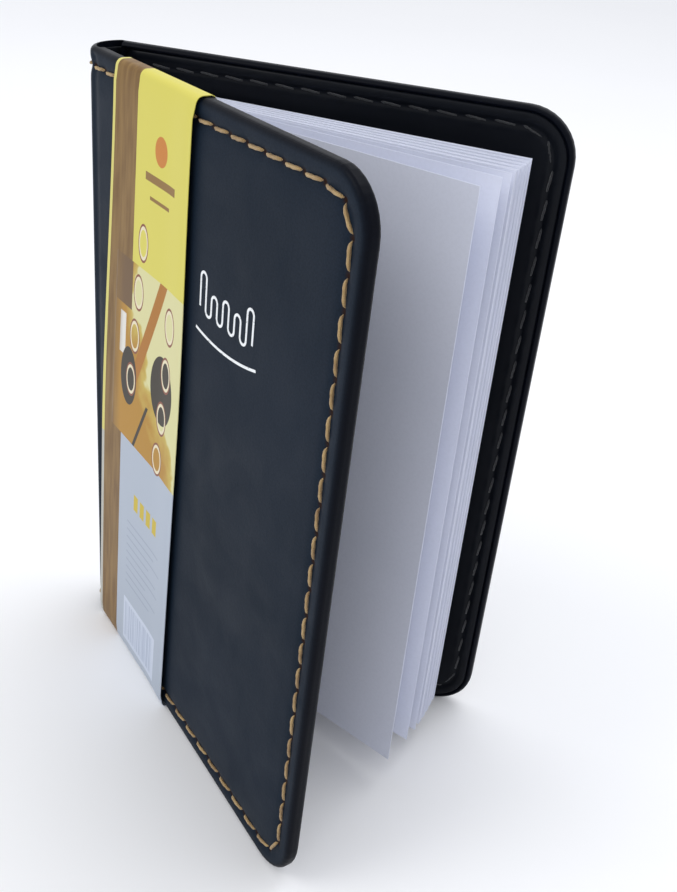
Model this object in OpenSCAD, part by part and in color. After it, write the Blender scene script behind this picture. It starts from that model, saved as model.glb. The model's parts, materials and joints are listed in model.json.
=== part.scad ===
// Pocket notebook standing part-open on its bottom edges: two padded, stitched covers joined by a
// rounded spine, a fanned page block and a loose paper band round the front cover.
// Millimetres, +Z up. The origin is the centre of the footprint, on the floor.
// The rear cover's outer face looks along +Y, the spine is at the -X end and the front cover
// opens towards -Y.

/* [Covers] */
// Width of each cover from its crease to its fore-edge.
panel_w = 78; // [72:1:90]
// Height of the covers.
cover_h = 115; // [105:1:130]
// Thickness of each padded cover.
cover_t = 2.5; // [2.5:0.1:2.8]
// Radius of the outer corners.
corner_r = 8; // [7.5:0.5:10]
// Angle between the two covers at rest.
open_deg = 35; // [25:0.1:50]

/* [Spine] */
// Thickness of the closed notebook over both covers.
closed_t = 9.6; // [9.6:0.1:10]
// How far the rounded spine stands out behind the creases.
spine_bulge = 1.7; // [1.5:0.1:1.9]

/* [Pages] */
// Width of a page from its root to its fore-edge.
page_w = 70.8; // [60:0.1:71]
// Height of a page.
page_h = 103; // [90:1:103]
// Thickness of one of the three loose leaves at the front.
leaf_t = 0.12; // [0.1:0.01:0.14]
// Thickness of one of the five sections behind them.
section_t = 0.6; // [0.5:0.05:0.6]

/* [Stitching] */
// Distance of the stitch line from the cover's edge.
stitch_inset = 3; // [3:0.1:4.4]
// Distance between stitches.
stitch_pitch = 4.5; // [4:0.1:5.5]
// Width of the thread.
thread_w = 0.65; // [0.6:0.05:0.75]

/* [Paper band] */
// Width of the band along the cover.
band_w = 31.5; // [25:1:40]
// Distance of the band's middle height from the front crease at rest.
band_start = 4.5; // [4.5:0.5:8]
// How far the band has slipped round from square, in degrees.
band_tilt = 3.3; // [0:0.1:3.5]
// Thickness of the band's paper.
band_t = 0.15; // [0.1:0.01:0.2]

/* [Hidden] */
$fn = 64;

// Layers of a cover, counted inwards from its outer face.
skin_t = 0.7;
turn_t = 0.6;
layer_gap = 0.05;
foam_t = 0.5;
board_t = 0.5;
foam_w0 = skin_t + layer_gap;
board_w0 = foam_w0 + foam_t + layer_gap;
liner_w0 = cover_t - turn_t;

// Outlines of a cover, as distances from its edge.
edge_r = cover_t / 2;
turn_in = 2.2;
pocket_in = 1.1;
filler_in = 1.2;
liner_in = turn_in + layer_gap;

// Where each layer starts beside its crease.
skin_start = 0.4;
lining_start = 1.6;
board_start = 4;

// Grooves that the threads lie in.
groove_w = 1.2;
outer_groove_d = 0.52;
inner_groove_d = 0.45;
thread_sink = 0.05;
link_w = 0.36;
link_t = 0.12;
dash_gap = 0.8;
dash_slant = 7;

// The two creases turn about the middle of the outer skin.
pivot_w = skin_t / 2;
rear_pivot = [0, -pivot_w];
front_pivot = [0, -closed_t + pivot_w];

// The spine is an arc through both creases.
half_chord = (rear_pivot[1] - front_pivot[1]) / 2;
spine_r = (half_chord * half_chord + spine_bulge * spine_bulge) / (2 * spine_bulge);
spine_c = [spine_r - spine_bulge, (rear_pivot[1] + front_pivot[1]) / 2];
spine_half = asin(half_chord / spine_r) - 2.6;
spine_lining_half = 30;
hem_h = 4.8;
stiffener_t = 0.5;
spine_liner_t = 0.4;
stiffener_r = spine_r - skin_t / 2 - layer_gap;
spine_liner_r = stiffener_r - stiffener_t - layer_gap;
hem_r = spine_r - skin_t / 2 - turn_t;
spine_stitch_half = 13;

// Page block, counted inwards from the rear cover's inner face.
root_x = 2.4;
page_z = (cover_h - page_h) / 2;
rest_gap = 0.1;
leaf_gap = 0.08;
section_deg = [8.6, 7.7, 6.8, 5.9, 5.0];
leaf_deg = [17.2, 12.3, 10];
fan = open_deg / 35;
glue_x = 1.3;
glue_t = 0.6;
cloth_t = 0.2;
cloth_x = glue_x - layer_gap - cloth_t;
cloth_foot = 6;
cloth_seat_t = 0.25;
block_top = section_y(1) - section_t / 2 - 3 * (leaf_t + leaf_gap);

// Band clearances. The front cover stands clear of the floor by the band's lower wrap.
band_gap = 0.1;
band_out = band_t + band_gap;
front_lift = band_out;
front_h = cover_h - front_lift;

// Foil flourish on the front cover.
foil_t = 0.05;
foil_w = 0.42;
loop_r = 0.85;
loop_tall = [4.6, 2, 2.6, 2, 4.2];

// Footprint of the rest pose, which centres the model on the origin.
edge_turn_x = panel_w - edge_r;
edge_turn_w = edge_r - pivot_w;
low_y = front_pivot[1] - edge_turn_x * sin(open_deg) + edge_turn_w * cos(open_deg) - edge_r;
low_x = -spine_bulge - skin_t / 2;
centre = [(panel_w + low_x) / 2, low_y / 2];

function section_y(i) =
    -cover_t - rest_gap - section_t / 2 - (5 - i) * (section_t + leaf_gap);
function leaf_y(i) =
    section_y(1) - section_t / 2 - leaf_gap - leaf_t / 2 - (3 - i) * (leaf_t + leaf_gap);

// Places a cover drawn from its crease (x), inwards from its outer face (y) and upwards (z).
module as_rear() mirror([0, 1, 0]) children();
module as_front()
    translate([front_pivot[0], front_pivot[1], front_lift]) rotate([0, 0, -open_deg])
        translate([0, -pivot_w, 0]) children();

// Outline of a cover h high, drawn in from its edge, as a plate between two depths.
module plate(h, start, in, w0, w1) {
    r = corner_r - in;
    x1 = panel_w - corner_r;
    translate([start, w0, in]) cube([x1 - start, w1 - w0, h - 2 * in]);
    translate([x1, w0, corner_r]) cube([r, w1 - w0, h - 2 * corner_r]);
    for (z = [corner_r, h - corner_r])
        translate([x1, w0, z]) rotate([-90, 0, 0]) cylinder(r = r, h = w1 - w0);
}

// Sweeps a profile round the three free edges of a cover h high.
// The profile's x is measured outwards from the corner's centre and its y inwards from the face.
module edge_sweep(h, start) {
    run = panel_w - corner_r - start;
    translate([panel_w - corner_r, 0, h - corner_r]) {
        rotate([0, -90, 0]) linear_extrude(run) children();
        rotate([-90, 0, 0]) rotate([0, 0, -90]) rotate_extrude(angle = 90) children();
    }
    translate([panel_w - corner_r, 0, corner_r]) {
        linear_extrude(h - 2 * corner_r) children();
        rotate([-90, 0, 0]) rotate_extrude(angle = 90) children();
    }
    translate([start, 0, corner_r]) rotate([0, 90, 0]) linear_extrude(run) children();
}

// Profile of the outer material: face, rounded edge and turn-in, with the stitch groove.
module skin_profile() {
    difference() {
        union() {
            square([corner_r - edge_r, cover_t]);
            translate([corner_r - edge_r, edge_r]) circle(r = edge_r);
        }
        translate([-1, skin_t]) square([corner_r - pocket_in + 1, liner_w0 - skin_t]);
        translate([-1, liner_w0 - 1]) square([corner_r - turn_in + 1, turn_t + 2]);
        translate([corner_r - stitch_inset - groove_w / 2, -1])
            square([groove_w, outer_groove_d + 1]);
    }
}

// Half discs are used past the corner's centre only, so the profile is cut at x = 0.
module skin_edge() {
    intersection() {
        skin_profile();
        square([corner_r, cover_t]);
    }
}

module cover_skin(h) {
    difference() {
        union() {
            edge_sweep(h, skin_start) skin_edge();
            translate([skin_start, 0, corner_r])
                cube([panel_w - corner_r - skin_start, skin_t, h - 2 * corner_r]);
        }
        translate([-1, skin_t, -1]) cube([lining_start + 1, cover_t, h + 2]);
    }
}

module cover_foam(h) plate(h, lining_start, filler_in, foam_w0, foam_w0 + foam_t);
module cover_board(h) plate(h, board_start, filler_in, board_w0, board_w0 + board_t);

module cover_liner(h) {
    difference() {
        plate(h, lining_start, liner_in, liner_w0, cover_t);
        edge_sweep(h, lining_start - 1)
            translate([corner_r - stitch_inset - groove_w / 2, cover_t - inner_groove_d])
                square([groove_w, inner_groove_d + 1]);
    }
}

// One stitch lying along x, centred on the origin, slanted in the plane of the face.
module dash(len, d0, d1)
    rotate([0, -dash_slant, 0]) translate([-len / 2, d0, -thread_w / 2])
        cube([len, d1 - d0, thread_w]);

// A continuous thread round the cover: stitches near the surface, joined by runs at the
// bottom of the groove.
module cover_thread(h, start, d0, d1, link_d) {
    len = stitch_pitch - dash_gap;
    x1 = panel_w - corner_r;
    r = corner_r - stitch_inset;
    along = floor((x1 - start) / stitch_pitch);
    along_pitch = (x1 - start) / along;
    up = floor((h - 2 * corner_r) / stitch_pitch);
    up_pitch = (h - 2 * corner_r) / up;
    edge_sweep(h, start)
        translate([corner_r - stitch_inset - link_w / 2, link_d]) square([link_w, link_t]);
    for (i = [0 : along - 1]) {
        x = x1 - (i + 0.5) * along_pitch;
        translate([x, 0, h - stitch_inset]) dash(len, d0, d1);
        translate([x, 0, stitch_inset]) dash(len, d0, d1);
    }
    for (i = [0 : up - 1])
        translate([panel_w - stitch_inset, 0, corner_r + (i + 0.5) * up_pitch])
            rotate([0, 90, 0]) dash(len, d0, d1);
    for (s = [-1, 1])
        translate([x1 + r * cos(45), 0, h / 2 + s * (h / 2 - corner_r + r * sin(45))])
            rotate([0, s * 45, 0]) dash(len * 0.48, d0, d1);
}

module outer_thread(h)
    cover_thread(h, skin_start + 0.2, thread_sink, outer_groove_d - 0.05,
        outer_groove_d - 0.05 - link_t);
module inner_thread(h)
    cover_thread(h, lining_start + 0.2, cover_t - inner_groove_d + 0.05, cover_t - thread_sink,
        cover_t - inner_groove_d + 0.05);

// Part of a tube round the spine's centre, behind the creases.
module spine_arc(r0, r1, half, z0, z1)
    translate([spine_c[0], spine_c[1], z0]) rotate([0, 0, 180 - half])
        rotate_extrude(angle = 2 * half) translate([r0, 0]) square([r1 - r0, z1 - z0]);

module spine_thread(z) {
    r1 = spine_r + skin_t / 2 - thread_sink;
    r0 = spine_r + skin_t / 2 - outer_groove_d + 0.05;
    link_r = r0 + link_t / 4;
    spine_arc(link_r, link_r + link_t, spine_half - 1, z - link_w / 2, z + link_w / 2);
    for (a = [-spine_half / 2, spine_half / 2])
        translate([spine_c[0], spine_c[1], 0]) rotate([0, 0, a])
            translate([-spine_c[0], -spine_c[1], 0])
                spine_arc(r0, r1, spine_stitch_half, z - thread_w / 2, z + thread_w / 2);
}

// A sheet or section of pages fanned by deg about its own root.
module pages(t, y, deg)
    translate([root_x, y, page_z]) rotate([0, 0, -deg * fan]) {
        translate([0, -t / 2, 0]) cube([page_w, t, page_h]);
        cylinder(r = t / 2, h = page_h);
    }

module rear_outer_skin() color("#39424C") as_rear() cover_skin(cover_h);
module rear_foam_pad() color("#C9C4B4") as_rear() cover_foam(cover_h);
module rear_board() color("#8C8472") as_rear() cover_board(cover_h);
module rear_inner_liner() color("#17191D") as_rear() {
    difference() {
        cover_liner(cover_h);
        translate([0, cover_t - cloth_seat_t, page_z - 0.5])
            cube([lining_start + cloth_foot + 0.2, 1, page_h + 1]);
    }
}
module rear_edge_thread() color("#B98B4E") as_rear() outer_thread(cover_h);
module rear_lining_thread() color("#2A2D33") as_rear() inner_thread(cover_h);

module hinge_cloth() color("#D8D3C6") {
    back = cover_t - cloth_t;
    translate([cloth_x, block_top, page_z]) cube([cloth_t, -block_top - back, page_h]);
    translate([cloth_x, -cover_t, page_z])
        cube([lining_start + cloth_foot - cloth_x, cloth_t, page_h]);
}
module binding_glue() color("#E4DCC4")
    translate([glue_x, block_top, page_z])
        cube([glue_t, -block_top - cover_t - layer_gap, page_h]);

module spine_outer_skin() color("#39424C") {
    r1 = spine_r + skin_t / 2;
    difference() {
        union() {
            spine_arc(spine_r - skin_t / 2, r1, spine_half, 0, cover_h);
            for (z = [0, cover_h - hem_h])
                spine_arc(hem_r, spine_r, spine_lining_half, z, z + hem_h);
        }
        for (z = [stitch_inset, cover_h - stitch_inset])
            spine_arc(r1 - outer_groove_d, r1 + 1, 80, z - groove_w / 2, z + groove_w / 2);
    }
}
module spine_stiffener() color("#8C8472")
    spine_arc(stiffener_r - stiffener_t, stiffener_r, spine_lining_half,
        hem_h + 0.1, cover_h - hem_h - 0.1);
module spine_inner_liner() color("#17191D")
    spine_arc(spine_liner_r - spine_liner_t, spine_liner_r, spine_lining_half,
        hem_h + 0.1, cover_h - hem_h - 0.1);
module spine_top_thread() color("#B98B4E") spine_thread(cover_h - stitch_inset);
module spine_bottom_thread() color("#B98B4E") spine_thread(stitch_inset);

module front_outer_skin() color("#39424C") as_front() cover_skin(front_h);
module front_foam_pad() color("#C9C4B4") as_front() cover_foam(front_h);
module front_board() color("#8C8472") as_front() cover_board(front_h);
module front_inner_liner() color("#17191D") as_front() cover_liner(front_h);
module front_edge_thread() color("#B98B4E") as_front() outer_thread(front_h);
module front_lining_thread() color("#2A2D33") as_front() inner_thread(front_h);

// Part of a flat ring of foil on the outer face, from angle a0, turning anticlockwise by a.
module foil_arc(x, z, r, a0, a)
    translate([x, 0, z]) rotate([90, 0, 0]) rotate([0, 0, a0])
        rotate_extrude(angle = a) translate([r - foil_w / 2, 0]) square([foil_w, foil_t]);

// A straight stroke of foil upwards from (x, z).
module foil_stroke(x, z, tall)
    translate([x - foil_w / 2, -foil_t, z]) cube([foil_w, foil_t, tall]);

// A plain row of upright loops over a shallow underline.
module front_foil_mark() color("#E9ECEE") as_front() {
    foil_arc(47.5, 119, 38, 258, 27);
    for (i = [0 : 4]) {
        x = 40.6 + i * 4 * loop_r;
        foil_stroke(x, 85.5, loop_tall[i]);
        foil_arc(x + loop_r, 85.5 + loop_tall[i], loop_r, 0, 180);
        foil_stroke(x + 2 * loop_r, 85.5, loop_tall[i]);
        if (i < 4) foil_arc(x + 3 * loop_r, 85.5, loop_r, 180, 180);
    }
}

// Where the tilted band's edge is at a height on the front cover.
function band_left(z) = band_start + (z - front_h / 2) * tan(band_tilt);

// One flat run of the band, between two depths and two heights on the front cover.
module band_run(w0, w1, z0, z1) color("#D9D3A0") as_front()
    translate([0, w1, 0]) rotate([90, 0, 0]) linear_extrude(w1 - w0)
        polygon([
            [band_left(z0), z0], [band_left(z0) + band_w, z0],
            [band_left(z1) + band_w, z1], [band_left(z1), z1]
        ]);

module band_outer_panel()
    band_run(-band_out, -band_gap, -band_gap, front_h + band_gap);
module band_inner_panel()
    band_run(cover_t + band_gap, cover_t + band_out, -band_gap, front_h + band_gap);
module band_top_fold()
    band_run(-band_out, cover_t + band_out, front_h + band_gap, front_h + band_out);
module band_bottom_fold()
    band_run(-band_out, cover_t + band_out, -band_out, -band_gap);

module leaf_1() color("#C3C6D2") pages(leaf_t, leaf_y(1), leaf_deg[0]);
module leaf_2() color("#C3C6D2") pages(leaf_t, leaf_y(2), leaf_deg[1]);
module leaf_3() color("#C3C6D2") pages(leaf_t, leaf_y(3), leaf_deg[2]);
module section_1() color("#B9BDCB") pages(section_t, section_y(1), section_deg[0]);
module section_2() color("#B9BDCB") pages(section_t, section_y(2), section_deg[1]);
module section_3() color("#B9BDCB") pages(section_t, section_y(3), section_deg[2]);
module section_4() color("#B9BDCB") pages(section_t, section_y(4), section_deg[3]);
module section_5() color("#B9BDCB") pages(section_t, section_y(5), section_deg[4]);

translate([-centre[0], -centre[1], 0]) {
    rear_outer_skin();
    rear_foam_pad();
    rear_board();
    rear_inner_liner();
    rear_edge_thread();
    rear_lining_thread();
    hinge_cloth();
    binding_glue();
    spine_outer_skin();
    spine_stiffener();
    spine_inner_liner();
    spine_top_thread();
    spine_bottom_thread();
    front_outer_skin();
    front_foam_pad();
    front_board();
    front_inner_liner();
    front_edge_thread();
    front_lining_thread();
    front_foil_mark();
    band_outer_panel();
    band_inner_panel();
    band_top_fold();
    band_bottom_fold();
    leaf_1();
    leaf_2();
    leaf_3();
    section_1();
    section_2();
    section_3();
    section_4();
    section_5();
}
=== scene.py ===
"""Looks for a pocket notebook: padded stitched covers, lining, threads, pages, paper band and foil."""
import json
import math

import bmesh
import bpy
from mathutils import Matrix, Vector, noise


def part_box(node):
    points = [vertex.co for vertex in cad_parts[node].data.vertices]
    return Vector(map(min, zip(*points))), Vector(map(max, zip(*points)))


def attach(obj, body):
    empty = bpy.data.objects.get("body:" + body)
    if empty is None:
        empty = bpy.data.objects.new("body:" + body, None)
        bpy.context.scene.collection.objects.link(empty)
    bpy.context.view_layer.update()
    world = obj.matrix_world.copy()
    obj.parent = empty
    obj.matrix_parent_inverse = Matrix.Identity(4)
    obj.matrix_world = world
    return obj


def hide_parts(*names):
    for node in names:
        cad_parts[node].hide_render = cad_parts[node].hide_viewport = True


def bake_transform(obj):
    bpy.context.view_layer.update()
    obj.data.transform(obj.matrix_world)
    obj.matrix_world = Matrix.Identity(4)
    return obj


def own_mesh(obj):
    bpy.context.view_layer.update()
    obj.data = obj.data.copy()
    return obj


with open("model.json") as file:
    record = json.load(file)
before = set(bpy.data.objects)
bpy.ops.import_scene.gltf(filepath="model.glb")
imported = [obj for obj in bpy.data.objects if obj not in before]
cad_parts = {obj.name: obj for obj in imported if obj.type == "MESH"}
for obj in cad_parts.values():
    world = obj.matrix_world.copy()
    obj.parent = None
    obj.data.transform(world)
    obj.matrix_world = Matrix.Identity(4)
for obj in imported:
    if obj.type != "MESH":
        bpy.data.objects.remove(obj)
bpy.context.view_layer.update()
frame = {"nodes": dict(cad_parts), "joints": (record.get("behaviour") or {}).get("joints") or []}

bl_info = {
    "name": "Pocket notebook",
    "version": (1, 0, 0),
    "blender": (4, 5, 0),
    "location": "View3D > Sidebar > Notebook",
    "description": "Builds the covers, lining, threads, pages and paper band of a pocket notebook",
    "category": "Object",
}

MM = 0.001

# Places and sizes that the frame gives.
JOINTS = {j["name"]: j for j in frame["joints"]}
REAR_LOW, REAR_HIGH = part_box("rear_outer_skin")
SPINE_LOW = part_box("spine_outer_skin")[0]
REAR_PIVOT = Vector(JOINTS["rear_crease"]["pos_m"])
FRONT_PIVOT = Vector(JOINTS["front_crease"]["pos_m"])
OPEN = math.radians(-JOINTS["front_crease"]["range_deg"][0])
WIDTH = REAR_HIGH.x - REAR_PIVOT.x
HEIGHT = REAR_HIGH.z - REAR_LOW.z
THICK = REAR_HIGH.y - REAR_LOW.y
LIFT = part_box("front_outer_skin")[0].z
PIVOT_W = REAR_HIGH.y - REAR_PIVOT.y
PAGE_LOW, PAGE_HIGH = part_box("section_5")
PAGE_WIDTH = 70.8 * MM

# The spine's arc goes through both creases and stands out behind them.
HALF_CHORD = (REAR_PIVOT.y - FRONT_PIVOT.y) / 2
BULGE = REAR_PIVOT.x - SPINE_LOW.x - PIVOT_W
SPINE_MID_R = (HALF_CHORD**2 + BULGE**2) / (2 * BULGE)
SPINE_R = SPINE_MID_R + PIVOT_W
SPINE_CENTRE = Vector((REAR_PIVOT.x + SPINE_MID_R - BULGE, REAR_PIVOT.y - HALF_CHORD, 0))

# The outline's corner, the seam's distance from it and the length of a stitch, and how far in the
# lining begins.
CORNER = 8 * MM
INSET = 3 * MM
PITCH = 4.5 * MM
BORDER = 1 * MM

# Where each seam begins, from the crease.
EDGE_SEAM_START, LINING_SEAM_START = 0.5 * MM, 2 * MM

# Past the crease the outer material is a thin strip, and it turns round the crease at this radius.
STRIP = 1 * MM
CREASE_R = 1.2 * MM
LINING_THICK = 0.26 * MM

# How far in from the crease, and then past it, the covers' sheets begin and end to bend.
BEND_ON_COVER, BEND_ON_SPINE = 2.4 * MM, 1.6 * MM

# The open front cover is a little warped: its upper corner leans in and its lower one out.
WARP_TOP, WARP_BOTTOM = 0.7 * MM, -1.9 * MM

BAND_WIDTH = 31.5 * MM
BAND_PAPER, BAND_GAP = 0.1 * MM, 0.25 * MM

# The camera: degrees round, above and rolled, and its place from the rear cover's outer face at the
# crease.
AZIMUTH, ELEVATION, ROLL = (math.radians(a) for a in (21.47, 28.7, 4.53))
CAMERA_PLACE = Vector((98.455, -161.5, 146.7)) * MM
LENS_MM, SHIFT_X, SHIFT_Y = 42.67655, 0.058857, -0.03139

# Points nearer than this are at the same place.
NEAR = 0.01 * MM


def linear(code):
    """An sRGB hex value as linear RGBA."""
    def turn(v):
        return v / 12.92 if v <= 0.04045 else ((v + 0.055) / 1.055) ** 2.4
    return tuple(turn(int(code[i:i + 2], 16) / 255) for i in (0, 2, 4)) + (1.0,)


# ---------------------------------------------------------------- modelling helpers

def edit():
    bpy.ops.object.mode_set(mode="EDIT")


def leave():
    bpy.ops.object.mode_set(mode="OBJECT")


def start_fresh():
    if bpy.context.object and bpy.context.object.mode != "OBJECT":
        leave()
    bpy.ops.object.select_all(action="DESELECT")


def put_in_scene(item):
    bpy.context.scene.collection.objects.link(item)


def block(name, low, high):
    """A box primitive between two corners, alone, selected and ready to be shaped."""
    start_fresh()
    low, high = Vector(low), Vector(high)
    bpy.ops.mesh.primitive_cube_add(size=1, location=(low + high) / 2, scale=high - low)
    bpy.ops.object.transform_apply(location=True, rotation=False, scale=True)
    piece = bpy.context.object
    piece.name = piece.data.name = name
    return piece


def make_active(piece):
    start_fresh()
    piece.select_set(True)
    bpy.context.view_layer.objects.active = piece


def pick(piece, kind, test):
    """Selects, in edit mode, the verts, edges or faces whose place passes the test."""
    bpy.ops.mesh.select_mode(type={"verts": "VERT", "edges": "EDGE", "faces": "FACE"}[kind])
    bpy.ops.mesh.select_all(action="DESELECT")
    mesh = bmesh.from_edit_mesh(piece.data)
    for item in getattr(mesh, kind):
        item.select_set(bool(test(item)))
    mesh.select_flush_mode()
    bmesh.update_edit_mesh(piece.data)


def level(edge, axis, at=None):
    """Whether an edge stays level along an axis, and at that place on it if one is given."""
    a, b = (v.co[axis] for v in edge.verts)
    return abs(a - b) < NEAR and (at is None or abs(a - at) < NEAR)


def round_edges(piece, test, offset, segments):
    pick(piece, "edges", test)
    bpy.ops.mesh.bevel(offset=offset, segments=segments, affect="EDGES")


def cut(axis, places):
    """Slices all that is being edited at each place along an axis."""
    normal = Vector((0, 0, 0))
    normal[axis] = 1
    for place in places:
        bpy.ops.mesh.select_all(action="SELECT")
        bpy.ops.mesh.bisect(plane_co=normal * place, plane_no=normal)


def spread(low, high, step):
    """Evenly spaced places strictly between two ends, about a step apart."""
    n = max(1, round((high - low) / step))
    return [low + (high - low) * i / n for i in range(1, n)]


def graded(ends, steps):
    """Places between the first and last of the ends, each stretch with its own step."""
    places = []
    for low, high, step in zip(ends, ends[1:], steps):
        places += spread(low, high, step) + [high]
    return places[:-1]


def join(pieces, name):
    start_fresh()
    for piece in pieces:
        piece.select_set(True)
    bpy.context.view_layer.objects.active = pieces[0]
    if len(pieces) > 1:
        bpy.ops.object.join()
    joined = bpy.context.object
    joined.name = joined.data.name = name
    return joined


def apply_modifier(piece, kind, **settings):
    modifier = piece.modifiers.new(kind.title(), kind)
    for key, value in settings.items():
        setattr(modifier, key, value)
    bpy.context.view_layer.objects.active = piece
    bpy.ops.object.modifier_apply(modifier=modifier.name)


def fine(piece, levels):
    """Divides every face without rounding it."""
    apply_modifier(piece, "SUBSURF", subdivision_type="SIMPLE", levels=levels, render_levels=levels)


def remember_lay(piece):
    """Keeps each point's place on the piece while it is still flat, for its material."""
    lay = piece.data.attributes.new("lay", "FLOAT_VECTOR", "POINT")
    for v in piece.data.vertices:
        lay.data[v.index].vector = v.co


def move_points(piece, where):
    for v in piece.data.vertices:
        v.co = where(v.co)
    piece.data.update()


def finish_piece(piece, material, body=None, angle=40, stands_for=()):
    """Smooths a piece, gives it its material and says what it rides on and stands for."""
    make_active(piece)
    bpy.ops.object.shade_smooth_by_angle(angle=math.radians(angle))
    piece.data.materials.clear()
    piece.data.materials.append(material)
    if body:
        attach(piece, body)
    if stands_for:
        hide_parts(*stands_for)
    return piece


def turn_faces_out(piece):
    make_active(piece)
    edit()
    bpy.ops.mesh.select_all(action="SELECT")
    bpy.ops.mesh.normals_make_consistent(inside=False)
    leave()


# ---------------------------------------------------------------- places on a cover

class Cover:
    """A cover's own coordinates: u from the crease, w inwards from the outer face, z up."""

    def __init__(self, side):
        self.front = side == "front"
        self.z0 = LIFT if self.front else 0.0
        self.h = HEIGHT - self.z0
        pivot = FRONT_PIVOT if self.front else REAR_PIVOT
        turn = OPEN if self.front else 0.0
        flip = 1 if self.front else -1
        self.place = (
            Matrix.Translation((pivot.x, pivot.y, self.z0))
            @ Matrix.Rotation(-turn, 4, "Z")
            @ Matrix.Diagonal((1, flip, 1, 1))
            @ Matrix.Translation((0, -PIVOT_W, 0))
        )
        c = self.place.inverted() @ (SPINE_CENTRE + Vector((0, 0, self.z0)))
        self.centre = Vector((c.x, c.y))
        reach = SPINE_R - CREASE_R
        self.fold_u = c.x - math.sqrt(reach**2 - (CREASE_R - c.y) ** 2)
        self.fold_turn = math.atan2(c.x - self.fold_u, c.y - CREASE_R)
        self.fold_len = CREASE_R * self.fold_turn
        self.mid_turn = math.pi / 2 - turn
        self.strip_len = self.fold_len + SPINE_R * (self.mid_turn - self.fold_turn)
        self.end_u = self.fold_u - self.strip_len

    def warp(self, u, z):
        """How far a point of the front cover is pushed inwards by its warp."""
        if not self.front or u <= 0:
            return 0.0
        share = z / self.h
        return u / WIDTH * (WARP_BOTTOM + (WARP_TOP - WARP_BOTTOM) * share)

    def fold(self, p):
        """Takes a point of the flat layout round the crease and over the spine."""
        u, w, z = p
        s = self.fold_u - u
        if s > 0:
            if s < self.fold_len:
                a, r = s / CREASE_R, CREASE_R - w
                u, w = self.fold_u - r * math.sin(a), CREASE_R - r * math.cos(a)
            else:
                a, r = self.fold_turn + (s - self.fold_len) / SPINE_R, SPINE_R - w
                u, w = self.centre.x - r * math.sin(a), self.centre.y - r * math.cos(a)
        return self.place @ Vector((u, w + self.warp(u, z), z))

    def edge_distance(self, u, z):
        """How far a point lies inside the cover's rounded outline."""
        du, dz = WIDTH - u, min(z, self.h - z)
        if du < CORNER and dz < CORNER:
            return CORNER - math.hypot(CORNER - du, CORNER - dz)
        return min(du, dz)

    def seam_point(self, s, start):
        """The place and direction at a length s along the seam, from the bottom of the crease."""
        x1, r = WIDTH - CORNER, CORNER - INSET
        run, bend, rise = x1 - start, math.pi / 2 * r, self.h - 2 * CORNER
        if s < run:
            return start + s, INSET, 0.0
        s -= run
        if s < bend:
            a = s / r
            return x1 + r * math.sin(a), CORNER - r * math.cos(a), a
        s -= bend
        if s < rise:
            return WIDTH - INSET, CORNER + s, math.pi / 2
        s -= rise
        if s < bend:
            a = s / r
            return x1 + r * math.cos(a), self.h - CORNER + r * math.sin(a), math.pi / 2 + a
        return x1 - (s - bend), self.h - INSET, math.pi

    def seam_steps(self, start):
        """The number of stitches on the seam and the length of each."""
        length = 2 * (WIDTH - CORNER - start) + math.pi * (CORNER - INSET) + self.h - 2 * CORNER
        n = round(length / PITCH)
        return n, length / n

    def stitches(self, start):
        """Middle and direction of every stitch."""
        n, step = self.seam_steps(start)
        found = []
        for i in range(n):
            a, b = self.seam_point(i * step, start), self.seam_point((i + 1) * step, start)
            turn = math.atan2(b[1] - a[1], b[0] - a[0])
            found.append(((a[0] + b[0]) / 2, (a[1] + b[1]) / 2, turn))
        return found

    def holes(self, start):
        """The points between stitches, where the thread goes in."""
        n, step = self.seam_steps(start)
        return [self.seam_point(i * step, start)[:2] for i in range(n + 1)]


COVERS = {side: Cover(side) for side in ("rear", "front")}


def join_at_crease(piece, cover, depth):
    """Bakes a cover's sheet's placing into its mesh; a point on the cover and one on the spine, at this
    depth, are found but not used.
    """
    middle = HEIGHT / 2
    on_cover = cover.fold((BEND_ON_COVER, depth, middle))
    on_spine = cover.fold((cover.fold_u - cover.fold_len - BEND_ON_SPINE, depth, middle))
    if cover.front:
        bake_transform(piece)
    else:
        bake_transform(piece)


def bell(x, width):
    """1 at 0, and nearly 0 at twice the width."""
    return math.exp(-(x / width) ** 2)


def ramp(x, a, b):
    """Smoothly from 0 at a to 1 at b, which may be the lower one."""
    t = min(1, max(0, (x - a) / (b - a)))
    return t * t * (3 - 2 * t)


def near_holes(holes, cell):
    """A function that gives the distance to the nearest hole."""
    grid = {}
    for h in holes:
        grid.setdefault((int(h[0] / cell), int(h[1] / cell)), []).append(h)

    def nearest(u, z):
        i, j = int(u / cell), int(z / cell)
        best = 1.0
        for a in (i - 1, i, i + 1):
            for b in (j - 1, j, j + 1):
                for h in grid.get((a, b), ()):
                    best = min(best, math.hypot(u - h[0], z - h[1]))
        return best
    return nearest


# ---------------------------------------------------------------- materials

def add(tree, kind, links=None, **settings):
    """Adds a node: settings are its own, links are its inputs' values or sockets."""
    node = tree.nodes.new("ShaderNode" + kind)
    for key, value in settings.items():
        setattr(node, key, value)
    for key, value in (links or {}).items():
        if isinstance(value, bpy.types.NodeSocket):
            tree.links.new(value, node.inputs[key])
        else:
            node.inputs[key].default_value = value
    return node


def new_material(name, **shader):
    material = bpy.data.materials.new(name)
    material.use_nodes = True
    tree = material.node_tree
    tree.nodes.clear()
    surface = add(tree, "BsdfPrincipled", {k.replace("_", " "): v for k, v in shader.items()})
    out = add(tree, "OutputMaterial", {"Surface": surface.outputs[0]})
    out.is_active_output = True
    return material, tree, surface


def mix(tree, share, a, b):
    return add(tree, "Mix", {0: share, 6: a, 7: b}, data_type="RGBA").outputs[2]


def calc(tree, operation, *values):
    return add(tree, "Math", dict(enumerate(values)), operation=operation).outputs[0]


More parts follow.
